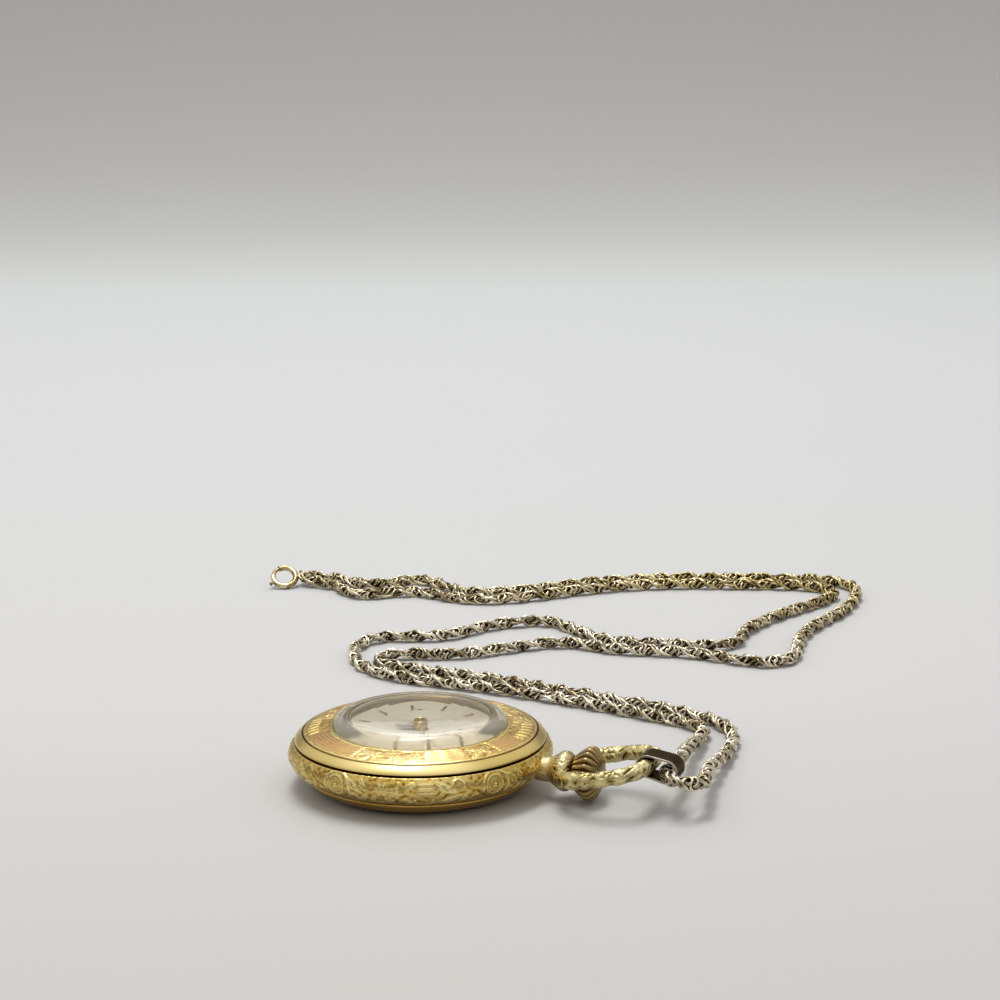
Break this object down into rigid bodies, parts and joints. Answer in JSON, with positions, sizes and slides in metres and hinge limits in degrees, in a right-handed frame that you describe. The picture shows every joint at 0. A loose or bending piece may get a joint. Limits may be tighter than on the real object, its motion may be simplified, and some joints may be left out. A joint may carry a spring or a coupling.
{
  "type": "pendant watch",
  "caption": "Round hand-wound pendant watch with domed crystal, crown, swinging bow and bail, on a loose doubled rope chain with a spring-ring clasp.",
  "frame": {"origin": "centre of the case back's flat face, on which the watch lies", "axes": "+Z out of the dial, +Y from the dial's centre to 12 o'clock and out along the pendant, +X to 3 o'clock"},
  "size_m": [0.1263, 0.093, 0.0095],
  "materials": {
    "gold_plate": "worn gold plate, embossed",
    "gold_back": "brushed gold plate",
    "gold_bezel": "polished and engraved gold plate",
    "gold_bow": "pale gold, chased",
    "crown_bronze": "worn bronze-brown",
    "acrylic": "clear acrylic",
    "dial_silver": "silvered, satin",
    "marker_gold": "polished",
    "hand_gold": "polished gilt",
    "hand_dark": "polished, dark",
    "bail_metal": "dark nickel, tarnished",
    "chain_silver": "tarnished silver-grey",
    "clasp_gold": "pale gold, polished",
    "steel": "polished steel",
    "spring_steel": "blued",
    "movement_brass": "gilt",
    "movement_nickel": "nickel plated",
    "ruby": "synthetic ruby"
  },
  "bodies": {
    "watch": {"case_body": "gold_plate", "case_back": "gold_back", "bezel": "gold_bezel", "crystal": "acrylic", "pendant": "gold_plate", "dial": "dial_silver", "hour_bars": "marker_gold", "main_plate": "movement_nickel", "barrel_bridge": "movement_nickel", "train_bridge": "movement_nickel", "balance_cock": "movement_nickel", "pallet_cock": "movement_nickel", "jewels": "ruby", "bridge_screws": "spring_steel", "movement_ring": "movement_brass", "click_screw": "steel", "crown_wheel_screw": "steel", "chain_near_strand": "chain_silver", "chain_far_strand": "chain_silver", "jump_ring": "clasp_gold", "clasp_body": "clasp_gold", "clasp_spring": "steel"},
    "bow": {"bow": "gold_bow"},
    "bail": {"bail": "bail_metal"},
    "winding_pinion": {"winding_pinion": "steel"},
    "crown": {"crown": "crown_bronze", "winding_stem": "steel"},
    "clutch": {"sliding_clutch": "steel"},
    "yoke": {"yoke": "steel"},
    "setting_lever": {"setting_lever": "steel"},
    "crown_wheel": {"crown_wheel": "steel"},
    "ratchet": {"ratchet_wheel": "steel", "ratchet_screw": "steel", "barrel_arbor": "steel"},
    "click": {"click": "steel"},
    "minute": {"minute_hand": "hand_gold", "cannon_pinion": "steel"},
    "hour": {"hour_hand": "hand_dark", "hour_wheel": "movement_brass"},
    "minute_wheel": {"minute_wheel": "movement_brass"},
    "setting_wheel": {"setting_wheel": "steel"},
    "fourth": {"fourth_wheel": "movement_brass"},
    "centre": {"centre_wheel": "movement_brass"},
    "third": {"third_wheel": "movement_brass"},
    "escape": {"escape_wheel": "steel"},
    "barrel": {"barrel": "movement_brass", "mainspring": "spring_steel"},
    "pallets": {"pallet_fork": "steel", "pallet_stones": "ruby"},
    "balance": {"balance_wheel": "movement_brass", "hairspring": "spring_steel"},
    "trigger": {"clasp_bolt": "clasp_gold"}
  },
  "joints": [
    {"name": "bow_swing", "type": "hinge", "parent": "watch", "child": "bow", "pos_m": [0, 0.0184, 0.00345], "axis": [1, 0, 0], "range_deg": [-140, 108]},
    {"name": "bail_swing", "type": "hinge", "parent": "bow", "child": "bail", "pos_m": [0, 0.02909, 0.00557], "axis": [1, 0, 0], "range_deg": [-110, 110]},
    {"name": "crown_turn", "type": "hinge", "parent": "watch", "child": "winding_pinion", "pos_m": [0, 0.0079, 0.00345], "axis": [0, 1, 0], "continuous": true},
    {"name": "crown_pull", "type": "slide", "parent": "winding_pinion", "child": "crown", "axis": [0, 1, 0], "range_m": [0, 0.0008]},
    {"name": "clutch_slide", "type": "slide", "parent": "winding_pinion", "child": "clutch", "axis": [0, 1, 0], "range_m": [-0.0008, 0]},
    {"name": "yoke_turn", "type": "hinge", "parent": "watch", "child": "yoke", "pos_m": [0.0029, 0.0056, 0.0036], "axis": [0, 0, 1], "range_deg": [0, 21]},
    {"name": "setting_lever_turn", "type": "hinge", "parent": "watch", "child": "setting_lever", "pos_m": [0.0025, 0.008, 0.0041], "axis": [0, 0, 1], "range_deg": [-22.5, 0]},
    {"name": "crown_wheel_turn", "type": "hinge", "parent": "watch", "child": "crown_wheel", "pos_m": [0, 0.00575, 0.0021], "axis": [0, 0, 1], "continuous": true},
    {"name": "ratchet_turn", "type": "hinge", "parent": "watch", "child": "ratchet", "pos_m": [-0.00439, 0.00118, 0.0021], "axis": [0, 0, 1], "continuous": true},
    {"name": "click_lift", "type": "hinge", "parent": "watch", "child": "click", "pos_m": [-0.00782, -0.00195, 0.0021], "axis": [0, 0, 1], "range_deg": [-14, 0], "stiffness_Nm_per_rad": 0.00002},
    {"name": "minute_turn", "type": "hinge", "parent": "watch", "child": "minute", "pos_m": [0, 0, 0.0072], "axis": [0, 0, 1], "continuous": true},
    {"name": "hour_turn", "type": "hinge", "parent": "watch", "child": "hour", "pos_m": [0, 0, 0.0069], "axis": [0, 0, 1], "continuous": true},
    {"name": "minute_wheel_turn", "type": "hinge", "parent": "watch", "child": "minute_wheel", "pos_m": [0.00144, 0.00249, 0.00545], "axis": [0, 0, 1], "continuous": true},
    {"name": "setting_wheel_turn", "type": "hinge", "parent": "watch", "child": "setting_wheel", "pos_m": [0.0003, 0.0054, 0.00545], "axis": [0, 0, 1], "continuous": true},
    {"name": "fourth_turn", "type": "hinge", "parent": "watch", "child": "fourth", "pos_m": [0.00453, -0.00161, 0.003], "axis": [0, 0, 1], "continuous": true},
    {"name": "centre_turn", "type": "hinge", "parent": "watch", "child": "centre", "pos_m": [0, 0, 0.004], "axis": [0, 0, 1], "continuous": true},
    {"name": "third_turn", "type": "hinge", "parent": "watch", "child": "third", "pos_m": [0.00338, 0.00123, 0.0035], "axis": [0, 0, 1], "continuous": true},
    {"name": "escape_turn", "type": "hinge", "parent": "watch", "child": "escape", "pos_m": [0.00283, -0.00363, 0.0034], "axis": [0, 0, 1], "continuous": true},
    {"name": "barrel_turn", "type": "hinge", "parent": "watch", "child": "barrel", "pos_m": [-0.00439, 0.00118, 0.003], "axis": [0, 0, 1], "continuous": true},
    {"name": "pallet_rock", "type": "hinge", "parent": "watch", "child": "pallets", "pos_m": [0.00112, -0.00458, 0.0036], "axis": [0, 0, 1], "range_deg": [-6, 6]},
    {"name": "balance_swing", "type": "hinge", "parent": "watch", "child": "balance", "pos_m": [-0.00118, -0.00585, 0.0025], "axis": [0, 0, 1], "range_deg": [-270, 270], "stiffness_Nm_per_rad": 0.00000002},
    {"name": "trigger_slide", "type": "hinge", "parent": "watch", "child": "trigger", "pos_m": [-0.0819, -0.057, 0.00158], "axis": [0.5567, 0.3214, 0.766], "range_deg": [0, 36], "stiffness_Nm_per_rad": 0.0002}
  ],
  "couplings": [
    {"joint": "clutch_slide", "follows": "crown_pull", "ratio": -1},
    {"joint": "yoke_turn", "follows": "crown_pull", "rad_per_m": 446},
    {"joint": "setting_lever_turn", "follows": "crown_pull", "rad_per_m": -481},
    {"joint": "crown_wheel_turn", "follows": "crown_turn", "ratio": 0.54545},
    {"joint": "ratchet_turn", "follows": "crown_turn", "ratio": -0.33333},
    {"joint": "hour_turn", "follows": "minute_turn", "ratio": 0.083333},
    {"joint": "minute_wheel_turn", "follows": "minute_turn", "ratio": -0.33333},
    {"joint": "setting_wheel_turn", "follows": "minute_turn", "ratio": 0.75},
    {"joint": "centre_turn", "follows": "fourth_turn", "ratio": 0.016667},
    {"joint": "third_turn", "follows": "fourth_turn", "ratio": -0.13333},
    {"joint": "escape_turn", "follows": "fourth_turn", "ratio": -10},
    {"joint": "barrel_turn", "follows": "fourth_turn", "ratio": -0.0027778}
  ]
}
